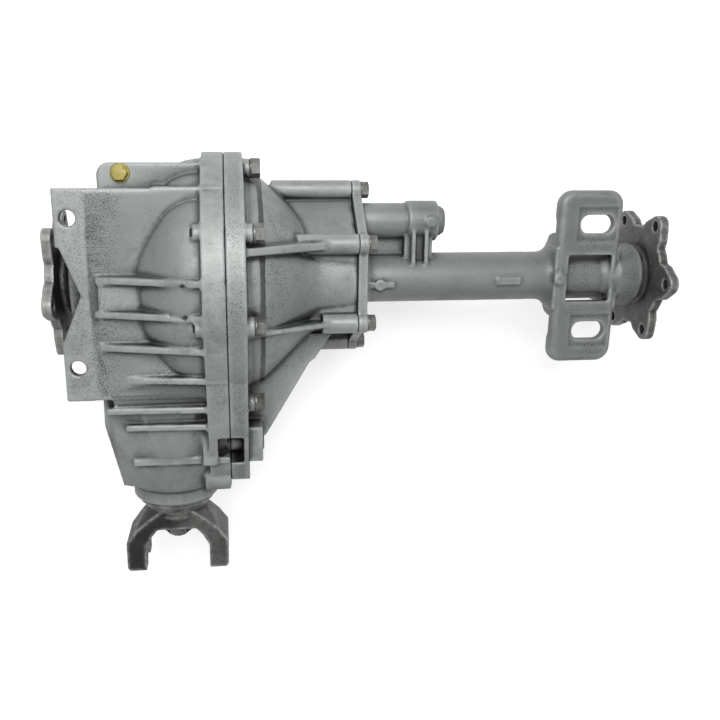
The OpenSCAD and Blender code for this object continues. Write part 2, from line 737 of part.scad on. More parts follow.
module bracket() {
    half_w = bracket_w / 2;
    half_l = bracket_l / 2;
    r = 17;
    translate([bracket_x, 0, bracket_z - bracket_t]) difference() {
        union() {
            hull() for (x = [-1, 1], y = [-1, 1])
                translate([x * (half_w - r), y * (half_l - r), 0]) {
                    cylinder(h = bracket_t - 6, r = r, $fn = 48);
                    translate([0, 0, bracket_t - 6]) cylinder(h = 4, r1 = r, r2 = r - 2.5, $fn = 48);
                    translate([0, 0, bracket_t - 2]) cylinder(h = 2, r1 = r - 2.5, r2 = r - 6, $fn = 48);
                }
            // Side walls of the window
            for (side = [-1, 1]) translate([0, 0, -24]) linear_extrude(24 + bracket_t - 1)
                translate([side > 0 ? half_w - 10 : -half_w, -36]) square([10, 72]);
        }
        translate([-half_w + 16, -27, -40]) linear_extrude(80) square([bracket_w - 26, 54]);
        for (side = [-1, 1]) translate([8, side * slot_spacing / 2, 0]) {
            translate([0, 0, -1]) linear_extrude(bracket_t + 2) slot_shape();
            translate([0, 0, bracket_t - 1.2]) linear_extrude(2)
                square([slot_l + 8, slot_w + 18], center = true);
        }
    }
    for (x = [-half_w + 6, half_w + 1]) translate([bracket_x + x, 0, 16])
        cylinder(h = bracket_z - 14.5, r = 6.5);
}

// Trumpet that widens the tube to the bracket's side, flat above and below
module bracket_flare() {
    arc = [for (a = [12 : 13 : 90])
        [flare_end - flare_r * (1 - sin(a)), tube_r + flare_r * (1 - cos(a))]];
    intersection() {
        along_x() turned(concat([[flare_end - flare_r, 0], [flare_end - flare_r, tube_r - 1]], arc,
            [[flare_end + 2, tube_r + flare_r], [flare_end + 2, 0]]));
        translate([flare_end - flare_r - 1, -bracket_l / 2, 4 - tube_r])
            cube([flare_r + 4, bracket_l, bracket_z - 8 + tube_r]);
    }
}

module slot_shape() {
    reach = (slot_l - slot_w) / 2;
    square([2 * reach, slot_w], center = true);
    for (side = [-1, 1]) translate([side * reach, 0]) circle(r = slot_w / 2);
}

module tube_hollow() {
    along_x() turned([[tube_start - 1, 0], [tube_start - 1, tube_bore_r + 2],
        [tube_start + 18, tube_bore_r + 2], [tube_start + 18, tube_bore_r], [ball_bearing_x, tube_bore_r],
        [ball_bearing_x, ball_bearing_r + run_gap], [snap_x, ball_bearing_r + run_gap],
        [snap_x, ball_bearing_r + 1.5], [snap_x + snap_t, ball_bearing_r + 1.5],
        [snap_x + snap_t, ball_bearing_r + run_gap], [tube_end_x + 1, ball_bearing_r + run_gap],
        [tube_end_x + 1, 0]]);
    for (p = tube_bolt_places) rod_at(p, tube_start - 1, tube_start + tube_flange_t + 1, tube_bolt_r + 0.5);
    // Rod and spring bore, fork room and plug bore of the actuator
    along_x() translate([actuator_y, 0, 0]) turned([[rod_bore_x, 0], [rod_bore_x, rod_r + run_gap],
        [spring_x, rod_r + run_gap], [spring_x, spring_room_r], [plug_x, spring_room_r],
        [plug_x, plug_r + run_gap], [actuator_end + 1, plug_r + run_gap], [actuator_end + 1, 0]]);
    translate([fork_room_x, 0, -fork_room]) cube([fork_room_l, actuator_y, 2 * fork_room]);
}

module case_bolts() {
    for (p = case_bolt_places)
        color(STEEL) place() along_x(right_flange_t + case_boss_t) translate(p)
            bolt(case_bolt_r, right_flange_t + left_flange_t + 2 * case_boss_t - 1, 18, 8.5,
                bolt_washer_r, 2);
}

module case_dowels() {
    for (p = dowel_places)
        color(STEEL) place() rod_at(p, -dowel_l / 2, dowel_l / 2, dowel_r);
}

module tube_bolts() {
    for (p = tube_bolt_places)
        color(STEEL) place() along_x(tube_start + tube_flange_t) translate(p)
            bolt(tube_bolt_r, tube_flange_t + 22, 16, 7.5, 9.5, 1.5);
}

module fill_plug() {
    color(BRASS) place() translate([fill_x, fill_y, fill_z])
        bolt(fill_r, 18, 14.5, 7, 10, 2.2);
}

module drain_plug() {
    color(STEEL) place() translate([mesh_x - 30, drain_y, -pad_z - 22]) mirror([0, 0, 1])
        bolt(fill_r, 18, 14.5, 7, 10, 2.2);
}

module actuator_port_plug() {
    color(CAST) place() {
        rod_at([actuator_y, 0], plug_x, actuator_end + 8, plug_r);
        rod_at([actuator_y, 0], actuator_end + eps, actuator_end + 5, plug_r + 2);
    }
}

module adjuster_ring() {
    difference() {
        cylinder(h = adjuster_t - 0.2, r = carrier_cup_r);
        translate([0, 0, -1]) cylinder(h = adjuster_t + 2, r = carrier_cup_r - 13);
        for (a = [0 : 30 : 330]) rotate([0, 0, a]) translate([carrier_cup_r - 6.5, 0, adjuster_t - 5])
            cylinder(h = 6, r = 2.5);
    }
}

module left_adjuster() {
    color(STEEL) place() along_x(left_seat_end) mirror([0, 0, 1]) adjuster_ring();
}

module right_adjuster() {
    color(STEEL) place() along_x(right_seat_end) adjuster_ring();
}

module at_left_bearing() {
    place() along_x(left_seat_x) mirror([0, 0, 1]) children();
}

module at_right_bearing() {
    place() along_x(right_seat_x) children();
}

module left_bearing_cup() {
    at_left_bearing() bearing_cup(carrier_seat_r, carrier_cup_r, carrier_bearing_w);
}

module left_bearing_cone() {
    at_left_bearing() bearing_cone(carrier_seat_r, carrier_cup_r, carrier_bearing_w);
}

module left_bearing_rollers() {
    at_left_bearing() bearing_rollers(carrier_seat_r, carrier_cup_r, carrier_bearing_w);
}

module right_bearing_cup() {
    at_right_bearing() bearing_cup(carrier_seat_r, carrier_cup_r, carrier_bearing_w);
}

module right_bearing_cone() {
    at_right_bearing() bearing_cone(carrier_seat_r, carrier_cup_r, carrier_bearing_w);
}

module right_bearing_rollers() {
    at_right_bearing() bearing_rollers(carrier_seat_r, carrier_cup_r, carrier_bearing_w);
}

// Carrier: trunnions, hollow body with two windows, and the flange that the ring gear is bolted to
module diff_carrier() {
    color(STEEL) place() difference() {
        along_x() turned([[left_seat_end + 1, 0], [left_seat_end + 1, carrier_seat_r],
            [left_seat_x, carrier_seat_r], [left_seat_x, carrier_seat_r + 6],
            [carrier_left_x, carrier_seat_r + 8], [carrier_left_x + 3, carrier_r - 6],
            [carrier_left_x + 9, carrier_r], [carrier_flange_x - 14, carrier_r],
            [carrier_flange_x - 14, ring_bore_r - run_gap], [carrier_flange_x, ring_bore_r - run_gap],
            [carrier_flange_x, carrier_flange_r], [carrier_right_x, carrier_flange_r],
            [carrier_right_x, carrier_seat_r + 14], [right_seat_x - 4, carrier_seat_r + 6],
            [right_seat_x, carrier_seat_r + 6], [right_seat_x, carrier_seat_r],
            [right_seat_end - 1, carrier_seat_r], [right_seat_end - 1, 0]]);
        // Rooms of the side gears and the spider gears
        rod_x(mesh_x - room_half, mesh_x + room_half, gear_room);
        translate([mesh_x, 0, -spider_room]) cylinder(h = 2 * spider_room, r = spider_room_r);
        rod_x(mesh_x - side_hub_end - 1, mesh_x + side_hub_end + 1, side_hub_r + run_gap);
        rod_x(left_seat_end, right_seat_end, trunnion_bore_r);
        // Windows
        translate([mesh_x - 30, -carrier_r - 1, -27]) cube([60, 2 * carrier_r + 2, 54]);
        // Cross pin and its lock
        translate([mesh_x, 0, -carrier_r - 1]) cylinder(h = 2 * carrier_r + 2, r = cross_pin_r + run_gap);
        rod_at([0, lock_z], carrier_left_x - 8, mesh_x + cross_pin_r + 4, lock_pin_r + run_gap);
        for (i = [0 : ring_bolts - 1]) along_x() rotate([0, 0, (i + 0.5) * 360 / ring_bolts])
            translate([ring_bolt_circle, 0, carrier_flange_x - 1])
                cylinder(h = carrier_flange_t + 2, r = ring_bolt_r + run_gap);
    }
}

gear_room = side_module * side_teeth / 2 + side_add + 1.5;
spider_room = spider_back + thrust_t;
spider_room_r = side_module * spider_teeth / 2 + spider_add + 1.5;
lock_z = (spider_room + carrier_r - 1) / 2;

ring_heights = [-ring_ded, ring_add];
pinion_heights = [for (k = [0 : 4]) -pinion_ded + (pinion_ded + pinion_add) * k / 4];
side_heights = [for (k = [0 : 2]) -side_ded + (side_ded + side_add) * k / 2];
spider_heights = [for (k = [0 : 3]) -spider_ded + (spider_ded + spider_add) * k / 3];

module ring_gear() {
    toe = toe_point(ring_cone, cone_dist, ring_face, ring_ded);
    heel = heel_point(ring_cone, cone_dist, ring_ded);
    back = ring_back_x - mesh_x;
    color(DARK_STEEL) place() along_x(mesh_x) {
        difference() {
            union() {
                bevel_rim(ring_teeth, ring_cone, cone_dist, ring_face, ring_heights, gear_slices, 1);
                turned([[toe[0], ring_bore_r + 1], toe, heel, [heel[0] + 4, heel[1] + 1.5],
                    [back - 2, heel[1] + 1.5], [back, heel[1] - 0.5], [back, ring_bore_r + 1]]);
            }
            translate([0, 0, back - 60]) cylinder(h = 80, r = ring_bore_r);
            for (i = [0 : ring_bolts - 1]) rotate([0, 0, (i + 0.5) * 360 / ring_bolts])
                translate([ring_bolt_circle, 0, back - 14]) cylinder(h = 20, r = ring_bolt_r + run_gap);
        }
    }
}

module ring_gear_bolts() {
    for (i = [0 : ring_bolts - 1])
        color(STEEL) place() along_x(carrier_right_x) rotate([0, 0, (i + 0.5) * 360 / ring_bolts])
            translate([ring_bolt_circle, 0, 0])
                bolt(ring_bolt_r, carrier_flange_t + 12, 18, bolt_head_t, 10, 1);
}

module cross_pin() {
    color(RACE) place() difference() {
        translate([mesh_x, 0, -carrier_r + 1]) cylinder(h = 2 * carrier_r - 2, r = cross_pin_r);
        rod_at([0, lock_z], mesh_x - cross_pin_r - 2, mesh_x + cross_pin_r + 2, lock_pin_r + run_gap);
    }
}

module cross_pin_lock() {
    color(STEEL) place() rod_at([0, lock_z], carrier_left_x + 3, mesh_x + cross_pin_r + 3, lock_pin_r);
}

module spider_gear() {
    toe = toe_point(spider_cone, side_dist, side_face, spider_ded);
    heel = heel_point(spider_cone, side_dist, spider_ded);
    difference() {
        union() {
            rotate([0, 0, 180 / spider_teeth])
                bevel_rim(spider_teeth, spider_cone, side_dist, side_face, spider_heights, 1, 0);
            turned([[toe[0] - 1, cross_pin_r - 1],
                [toe[0] - 1, toe[1] - 1], toe, heel, [heel[0] + 1, spider_hub_r],
                [spider_back, spider_hub_r - 1], [spider_back, cross_pin_r - 1]]);
        }
        cylinder(h = 90, r = cross_pin_r + run_gap);
    }
}

module spider_gear_upper() { color(DARK_STEEL) place() translate([mesh_x, 0, 0]) spider_gear(); }

module spider_gear_lower() {
    color(DARK_STEEL) place() translate([mesh_x, 0, 0]) rotate([180, 0, 0]) spider_gear();
}

module spider_washers() {
    for (side = [-1, 1])
        color(BRASS) place() translate([mesh_x, 0, side * (spider_back + thrust_t / 2)])
            translate([0, 0, -thrust_t / 2 + 0.1]) ring(thrust_t - 0.2, spider_hub_r - 2, cross_pin_r + 0.5);
}

module side_gear() {
    toe = toe_point(side_cone, side_dist, side_face, side_ded);
    heel = heel_point(side_cone, side_dist, side_ded);
    difference() {
        union() {
            bevel_rim(side_teeth, side_cone, side_dist, side_face, side_heights, 1, 0);
            turned([[toe[0] - 1, shaft_r - 3],
                [toe[0] - 1, toe[1] - 1], toe, heel, [heel[0] + 3, heel[1] + 1], [side_back, heel[1] - 1],
                [side_back, side_hub_r], [side_hub_end, side_hub_r], [side_hub_end, shaft_r - 3]]);
        }
        translate([0, 0, side_toe - 2]) linear_extrude(90) spline_shape(shaft_r + run_gap, spline_depth);
    }
}

module side_gear_left() {
    color(DARK_STEEL) place() translate([mesh_x, 0, 0]) rotate([0, -90, 0]) side_gear();
}

module side_gear_right() {
    color(DARK_STEEL) place() translate([mesh_x, 0, 0]) rotate([0, 90, 0]) side_gear();
}

module side_washers() {
    for (side = [-1, 1])
        color(BRASS) place() translate([mesh_x + side * (side_back + thrust_t / 2), 0, 0]) rotate([0, 90, 0])
            translate([0, 0, -thrust_t / 2 + 0.1]) ring(thrust_t - 0.2, side_hub_r + 11, side_hub_r + 0.6);
}

// Lobed flange from z = 0 to its thickness
module flange_plate(hole_r) {
    linear_extrude(flange_t) difference() {
        union() {
            circle(r = flange_circle - 11);
            for (i = [0 : flange_holes - 1]) rotate([0, 0, i * 360 / flange_holes]) {
                translate([flange_circle, 0]) circle(r = lobe_r);
                polygon([[20, -30], [flange_circle - 6, -lobe_r - 7], [flange_circle + 7, -lobe_r + 2.4],
                    [flange_circle + 7, lobe_r - 2.4], [flange_circle - 6, lobe_r + 7], [20, 30]]);
            }
        }
        for (i = [0 : flange_holes - 1]) rotate([0, 0, i * 360 / flange_holes])
            translate([flange_circle, 0]) circle(r = hole_r);
    }
}

left_turn = 13;
flange_recess_r = 32;

module flange_recess() {
    translate([0, 0, -1]) cylinder(h = 5, r = flange_recess_r);
}

module left_output_shaft() {
    color(DARK_STEEL) place() {
        along_x(left_flange_x) rotate([0, 0, 90 + left_turn]) difference() {
            flange_plate(flange_hole_r);
            flange_recess();
        }
        along_x() turned([[left_flange_x + 3, 0], [left_flange_x + 3, 36], [left_flange_in + 4, 36],
            [left_flange_in + 12, hub_r], [left_hub_end, hub_r], [left_hub_end, shaft_r - 2],
            [mesh_x - side_hub_end - 2, shaft_r - 2], [mesh_x - side_hub_end - 2, 0]]);
        translate([mesh_x, 0, 0]) mirror([1, 0, 0]) spline_end();
    }
}

// Splined end of a shaft in its side gear, with the groove of the retaining ring
module spline_end() {
    difference() {
        along_x(shaft_end) linear_extrude(side_hub_end + 3 - shaft_end) spline_shape(shaft_r, spline_depth);
        ring_at(retainer_x - 0.05, retainer_t + 0.1, shaft_r + 1, retainer_r);
    }
}

module retaining_ring() {
    difference() {
        ring_at(retainer_x, retainer_t, shaft_r + 2, retainer_r + run_gap);
        translate([retainer_x - 1, -3, 0]) cube([retainer_t + 2, 6, 30]);
    }
}

module left_retaining_ring() {
    color(STEEL) place() translate([mesh_x, 0, 0]) mirror([1, 0, 0]) retaining_ring();
}

module right_retaining_ring() { color(STEEL) place() translate([mesh_x, 0, 0]) retaining_ring(); }

module ring_at(x, w, outer, inner) {
    along_x(x) ring(w, outer, inner);
}

module left_output_seal() {
    color(RUBBER) place() ring_at(left_end_x + 0.3, seal_w - 2.5, seal_r - run_gap, hub_r + run_gap);
}

module intermediate_shaft() {
    color(DARK_STEEL) place() {
        translate([mesh_x, 0, 0]) spline_end();
        rod_x(mesh_x + side_hub_end + 2, clutch_end - 20, shaft_r - 2);
        rod_x(clutch_end - 21, clutch_end - 15, clutch_r - spline_depth);
        along_x(clutch_end - 16) linear_extrude(16) spline_shape(clutch_r, spline_depth);
        rod_x(clutch_end - 1, clutch_end + pilot_l, pilot_r);
    }
}

module intermediate_shaft_bush() {
    color(BRASS) place() ring_at(tube_start + 0.5, 16, tube_bore_r + 2 - run_gap, shaft_r - 2 + run_gap);
}

module shift_sleeve() {
    color(STEEL) place() along_x(sleeve_x) difference() {
        cylinder(h = sleeve_w, r = sleeve_r);
        translate([0, 0, -1]) linear_extrude(sleeve_w + 2) spline_shape(clutch_r + run_gap, spline_depth);
        translate([0, 0, groove_x - sleeve_x]) ring(groove_w, sleeve_r + 1, groove_r);
    }
}

module shift_fork() {
    fork_t = groove_w - 1;
    color(STEEL) place() along_x(groove_x + 0.5) difference() {
        union() {
            linear_extrude(fork_t) intersection() {
                circle(r = tube_bore_r - 0.6);
                translate([-6, -40]) square([80, 80]);
            }
            translate([10, -fork_room + 1, 0]) cube([actuator_y - 20, 2 * fork_room - 2, fork_t]);
            translate([actuator_y, 0, 0]) cylinder(h = fork_t, r = 11);
        }
        translate([0, 0, -1]) linear_extrude(fork_t + 2) {
            circle(r = groove_r + 0.4);
            translate([-40, -groove_r - 0.4]) square([40, 2 * groove_r + 0.8]);
        }
        translate([actuator_y, 0, -1]) cylinder(h = fork_t + 2, r = rod_r + run_gap);
    }
}

module shift_rod() {
    color(RACE) place() rod_at([actuator_y, 0], rod_x0, rod_x1, rod_r);
}

spring_wire_r = 1.2;

module return_spring() {
    turns = 6;
    steps = 14;
    sides = 8;
    mean_r = rod_r + 3.6;
    length = groove_x + 0.5 - spring_x - 2 * spring_wire_r - 0.4;
    n = turns * steps;
    points = [for (i = [0 : n], k = [0 : sides - 1])
        let (a = i * 360 / steps, b = k * 360 / sides, r = mean_r + spring_wire_r * cos(b))
        [r * cos(a), r * sin(a), length * i / n + spring_wire_r * sin(b)]];
    color(STEEL) place() along_x(spring_x + spring_wire_r + 0.2) translate([actuator_y, 0, 0]) polyhedron(
        points = points,
        faces = concat([[for (k = [sides - 1 : -1 : 0]) k]],
            [for (i = [0 : n - 1], k = [0 : sides - 1])
                let (k2 = (k + 1) % sides)
                for (f = [[i * sides + k, (i + 1) * sides + k2, (i + 1) * sides + k],
                    [i * sides + k, i * sides + k2, (i + 1) * sides + k2]]) f],
            [[for (k = [0 : sides - 1]) n * sides + k]])
    );
}

module right_output_shaft() {
    color(DARK_STEEL) place() {
        difference() {
            union() {
                along_x(clutch_end + 2) linear_extrude(sleeve_w + 12) spline_shape(clutch_r, spline_depth);
                along_x() turned([[clutch_end + sleeve_w + 13, 0],
                    [clutch_end + sleeve_w + 13, clutch_r - spline_depth],
                    [ball_bearing_x, clutch_r - spline_depth], [ball_bearing_x, shaft_r],
                    [snap_x + snap_t, shaft_r], [snap_x + snap_t, hub_r - 4],
                    [tube_end_x + 1.5, hub_r - 4], [tube_end_x + 1.5, hub_r + 3],
                    [right_flange_in + 1, 36], [right_face - 3, 36], [right_face - 3, 0]]);
            }
            rod_x(clutch_end, clutch_end + pilot_l + 3, pilot_r + run_gap);
        }
        along_x(right_face) mirror([0, 0, 1]) rotate([0, 0, 92]) difference() {
            flange_plate(flange_hole_r + right_hole_extra);
            flange_recess();
        }
    }
}

ball_r = 4;
ball_race_r = (ball_bearing_r + shaft_r) / 2;

module ball_groove() {
    translate([0, 0, ball_bearing_w / 2]) rotate_extrude() translate([ball_race_r, 0])
        circle(r = ball_r + 0.08, $fn = 32);
}

module right_shaft_bearing_outer() {
    color(RACE) place() along_x(ball_bearing_x) difference() {
        ring(ball_bearing_w, ball_bearing_r, ball_race_r + 1.8);
        ball_groove();
    }
}

module right_shaft_bearing_inner() {
    color(RACE) place() along_x(ball_bearing_x) difference() {
        ring(ball_bearing_w, ball_race_r - 1.8, shaft_r + run_gap);
        ball_groove();
    }
}

module right_shaft_bearing_balls() {
    count = 12;
    for (i = [0 : count - 1])
        color(RACE) place() along_x(ball_bearing_x + ball_bearing_w / 2) rotate([0, 0, i * 360 / count])
            translate([ball_race_r, 0, 0]) sphere(r = ball_r, $fn = 24);
}

module right_bearing_snap_ring() {
    color(STEEL) place() difference() {
        ring_at(snap_x + 0.1, snap_t - 0.2, ball_bearing_r + 1.4, ball_bearing_r - 2);
        translate([ball_bearing_x, -4, 0]) cube([40, 8, 60]);
    }
}

module right_output_seal() {
    color(RUBBER) place()
        ring_at(tube_end_x - seal_w + 1, seal_w - 1.5, ball_bearing_r - run_gap, hub_r - 4 + run_gap);
}

module pinion_gear() {
    toe = toe_point(pinion_cone, cone_dist, ring_face, pinion_ded);
    heel = heel_point(pinion_cone, cone_dist, pinion_ded);
    color(DARK_STEEL) place() along_pinion() {
        bevel_rim(pinion_teeth, pinion_cone, cone_dist, ring_face, pinion_heights, gear_slices, -1);
        turned([[toe[0], 0], toe, heel, [heel[0] + 1, 30], [head_back, 30], [head_back, pinion_seat_r],
            [inner_seat_end, pinion_seat_r], [inner_seat_end, pinion_outer_seat_r + 2],
            [outer_seat - 6, pinion_outer_seat_r + 2], [outer_seat - 5, pinion_outer_seat_r],
            [outer_seat_end, pinion_outer_seat_r], [outer_seat_end, yoke_bore_r],
            [hub_face - 1, yoke_bore_r], [hub_face - 1, thread_r], [pinion_end - 1, thread_r],
            [pinion_end, thread_r - 1], [pinion_end, 0]]);
    }
}

module at_inner_bearing() {
    place() along_pinion(head_back) children();
}

module at_outer_bearing() {
    place() along_pinion(outer_seat_end) mirror([0, 0, 1]) children();
}

module pinion_inner_cup() {
    at_inner_bearing() bearing_cup(pinion_seat_r, pinion_inner_cup_r, pinion_inner_w);
}

module pinion_inner_cone() {
    at_inner_bearing() bearing_cone(pinion_seat_r, pinion_inner_cup_r, pinion_inner_w);
}

module pinion_inner_rollers() {
    at_inner_bearing() bearing_rollers(pinion_seat_r, pinion_inner_cup_r, pinion_inner_w);
}

module pinion_outer_cup() {
    at_outer_bearing() bearing_cup(pinion_outer_seat_r, pinion_outer_cup_r, pinion_outer_w);
}

module pinion_outer_cone() {
    at_outer_bearing() bearing_cone(pinion_outer_seat_r, pinion_outer_cup_r, pinion_outer_w);
}

module pinion_outer_rollers() {
    at_outer_bearing() bearing_rollers(pinion_outer_seat_r, pinion_outer_cup_r, pinion_outer_w);
}

yoke_bore_r = 14.5;
hub_start = outer_seat_end + 0.2;

module crush_sleeve() {
    inner = pinion_outer_seat_r + 2.3;
    color(STEEL) place() along_pinion() turned([[inner_seat_end + 0.2, inner], [outer_seat - 0.2, inner],
        [outer_seat - 0.2, inner + 2], [outer_seat - 22, inner + 2], [outer_seat - 30, inner + 5],
        [outer_seat - 38, inner + 2], [inner_seat_end + 0.2, inner + 2]]);
}

module pinion_seal() {
    color(RUBBER) place() along_pinion(outer_seat_end + 3)
        ring(seal_end - outer_seat_end - 3, seal_bore_r - run_gap, yoke_hub_r + run_gap);
}

module dust_shield() {
    inner = yoke_hub_r + run_gap;
    rim_r = nose_r - 6;
    start = nose_end + face_gap;
    color(STEEL) place() along_pinion() turned([[seal_end + face_gap, inner],
        [seal_end + face_gap, seal_bore_r - 4], [start, seal_bore_r - 4], [start, rim_r], [start + 5, rim_r],
        [start + 7, rim_r - 2], [start + 8, rim_r - 7], [yoke_back - 1, rim_r - 8], [yoke_back - 1, inner]]);
}

module pinion_yoke() {
    ear_mid = (yoke_w + yoke_gap) / 4;
    color(DARK_STEEL) place() along_pinion() difference() {
        union() {
            translate([0, 0, hub_start]) cylinder(h = hub_face - hub_start, r = yoke_hub_r);
            turned([[yoke_back - 0.5, 0], [yoke_back - 0.5, 33], [yoke_back + 8, 34], [yoke_back + 16, 30],
                [hub_face, 26], [hub_face, 0]]);
            intersection() {
                rotate([90, 0, 0]) linear_extrude(2 * strap_half, center = true) yoke_profile();
                union() {
                    turned([[yoke_back, 0], [yoke_back, 34], [yoke_back + 42, 74], [yoke_tip + 1, 74],
                        [yoke_tip + 1, 0]]);
                    translate([-yoke_w, -strap_half, yoke_back + 38]) cube([2 * yoke_w, 2 * strap_half, 60]);
                }
            }
        }
        translate([0, 0, hub_start - 1]) cylinder(h = 80, r = yoke_bore_r + run_gap);
        translate([-yoke_w, 0, yoke_tip]) rotate([0, 90, 0]) cylinder(h = 2 * yoke_w, r = yoke_seat_r);
        for (x = [-ear_mid, ear_mid], y = [-strap_spacing / 2, strap_spacing / 2])
            translate([x, y, yoke_tip - 20]) cylinder(h = 30, r = strap_hole_r);
    }
}

// The yoke seen along Z, as [X, distance along the pinion]
module yoke_profile() {
    a = yoke_w / 2;
    b = yoke_gap / 2;
    polygon([[-34, yoke_back], [34, yoke_back], [44, yoke_back + 14], [a - 9, yoke_back + 28],
        [a, yoke_back + 40], [a, yoke_tip - 4], [a - 3, yoke_tip], [b, yoke_tip], [b, yoke_back + 46],
        [b - 8, yoke_back + 32], [23, hub_face], [-23, hub_face], [8 - b, yoke_back + 32],
        [-b, yoke_back + 46], [-b, yoke_tip], [3 - a, yoke_tip], [-a, yoke_tip - 4], [-a, yoke_back + 40],
        [9 - a, yoke_back + 28], [-44, yoke_back + 14]]);
}

nut_t = 13;
thread_r = 11;

module pinion_nut() {
    color(STEEL) place() along_pinion(hub_face + 0.05) difference() {
        union() {
            hexagon(nut_t, 32);
            cylinder(h = 3, r = 20);
        }
        translate([0, 0, -1]) cylinder(h = nut_t + 2, r = thread_r + run_gap);
    }
}

left_case();
right_case();
axle_tube();
case_bolts();
case_dowels();
tube_bolts();
fill_plug();
drain_plug();
actuator_port_plug();
left_adjuster();
right_adjuster();
left_bearing_cup();
right_bearing_cup();
left_bearing_cone();
right_bearing_cone();
left_bearing_rollers();
right_bearing_rollers();
diff_carrier();
ring_gear();
ring_gear_bolts();
cross_pin();
cross_pin_lock();
spider_gear_upper();
spider_gear_lower();
spider_washers();
side_gear_left();
side_gear_right();
side_washers();
left_output_shaft();
left_retaining_ring();
right_retaining_ring();
left_output_seal();
intermediate_shaft();
intermediate_shaft_bush();
shift_sleeve();
shift_fork();
shift_rod();
return_spring();
right_output_shaft();
right_shaft_bearing_outer();
right_shaft_bearing_inner();
right_shaft_bearing_balls();
right_bearing_snap_ring();
right_output_seal();
pinion_gear();
pinion_inner_cup();
pinion_inner_cone();
pinion_inner_rollers();
pinion_outer_cup();
pinion_outer_cone();
pinion_outer_rollers();
crush_sleeve();
pinion_seal();
dust_shield();
pinion_yoke();
pinion_nut();
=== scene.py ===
"""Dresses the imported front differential: cast housings with soft cast edges, dark forged yoke and
flanges, plated fasteners, a pale floor, soft light and a camera at the photograph's viewing angle.
Lengths are in metres, in the frame of the CAD model."""

import json
import math

import bmesh
import bpy
import numpy as np
from mathutils import Matrix, Vector
from mathutils.bvhtree import BVHTree


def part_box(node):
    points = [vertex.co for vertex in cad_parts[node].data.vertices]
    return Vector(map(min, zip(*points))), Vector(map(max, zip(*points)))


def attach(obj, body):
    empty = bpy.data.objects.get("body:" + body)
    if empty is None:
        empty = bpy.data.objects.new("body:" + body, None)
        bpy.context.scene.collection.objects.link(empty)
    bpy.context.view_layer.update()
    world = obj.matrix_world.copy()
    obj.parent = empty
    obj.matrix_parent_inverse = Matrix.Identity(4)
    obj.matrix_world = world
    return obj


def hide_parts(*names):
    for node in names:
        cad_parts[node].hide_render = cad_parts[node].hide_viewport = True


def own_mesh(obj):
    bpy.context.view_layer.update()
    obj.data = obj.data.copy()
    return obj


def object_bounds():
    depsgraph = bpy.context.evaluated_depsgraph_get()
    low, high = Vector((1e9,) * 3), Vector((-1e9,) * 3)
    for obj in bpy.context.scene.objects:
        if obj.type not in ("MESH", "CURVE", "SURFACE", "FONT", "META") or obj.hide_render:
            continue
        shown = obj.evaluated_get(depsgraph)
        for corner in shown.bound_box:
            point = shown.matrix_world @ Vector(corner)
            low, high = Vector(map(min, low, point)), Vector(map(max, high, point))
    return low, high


MM = 0.001

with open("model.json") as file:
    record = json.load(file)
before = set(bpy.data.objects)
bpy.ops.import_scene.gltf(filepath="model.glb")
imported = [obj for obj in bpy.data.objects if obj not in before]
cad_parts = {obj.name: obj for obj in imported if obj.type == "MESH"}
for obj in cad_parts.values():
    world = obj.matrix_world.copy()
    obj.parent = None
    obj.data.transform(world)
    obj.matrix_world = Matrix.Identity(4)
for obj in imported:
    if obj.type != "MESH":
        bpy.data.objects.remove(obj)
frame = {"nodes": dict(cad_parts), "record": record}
cad_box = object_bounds()
nodes = frame["nodes"]

# Places worked out from the frame
SPLIT_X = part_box("left_case")[1][0]
CASE_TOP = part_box("left_case")[1][2]
TUBE_X, TUBE_END_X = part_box("axle_tube")[0][0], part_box("axle_tube")[1][0]
PAD_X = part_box("left_case")[0][0]
PAD_STEP_X = PAD_X + 34 * MM
PAD_LOW, PAD_HIGH = CASE_TOP - 60 * MM, CASE_TOP - 50 * MM
BELOW_PAD_LOW, BELOW_PAD_HIGH = CASE_TOP - 76 * MM, CASE_TOP - 66 * MM
FLOOR_Z = cad_box[0][2] - 1 * MM

# Where the castings grow darker: from a trace to the full share
NOSE_DARKENING = (-0.16, -0.27)
TUBE_DARKENING = (0.32, 0.40)
BRACKET_DARKENING = (0.53, 0.60)


# Meshes

def mesh_arrays(mesh):
    """Points and edges of a mesh as arrays."""
    points = np.empty(len(mesh.vertices) * 3)
    mesh.vertices.foreach_get("co", points)
    edges = np.empty(len(mesh.edges) * 2, dtype=np.int64)
    mesh.edges.foreach_get("vertices", edges)
    return points.reshape(-1, 3), edges.reshape(-1, 2)


def neighbour_mean(values, edges, count):
    """Mean of each point's neighbours."""
    total = np.zeros_like(values)
    np.add.at(total, edges[:, 0], values[edges[:, 1]])
    np.add.at(total, edges[:, 1], values[edges[:, 0]])
    return total / count.reshape((-1,) + (1,) * (values.ndim - 1))


def relax(mesh, rounds, strength=0.5):
    """Rounds edges by moving points to the mean of their neighbours, alternately in and out a little."""
    points, edges = mesh_arrays(mesh)
    count = np.maximum(np.bincount(edges.ravel(), minlength=len(points)), 1)
    for _ in range(rounds):
        for step in (strength, -strength * 0.6):
            points += step * (neighbour_mean(points, edges, count) - points)
    mesh.vertices.foreach_set("co", points.ravel())
    mesh.update()


def soften(mesh, low, high, rounds):
    """Smooths the points between two corners of a box, which turns steps into fillets."""
    points, edges = mesh_arrays(mesh)
    count = np.maximum(np.bincount(edges.ravel(), minlength=len(points)), 1)
    inside = np.all((points > low) & (points < high), axis=1)
    share = 0.5 * inside.astype(float)
    for _ in range(6):
        share = neighbour_mean(share, edges, count) * inside
    for _ in range(rounds):
        points += share[:, None] * (neighbour_mean(points, edges, count) - points)
    mesh.vertices.foreach_set("co", points.ravel())
    mesh.update()


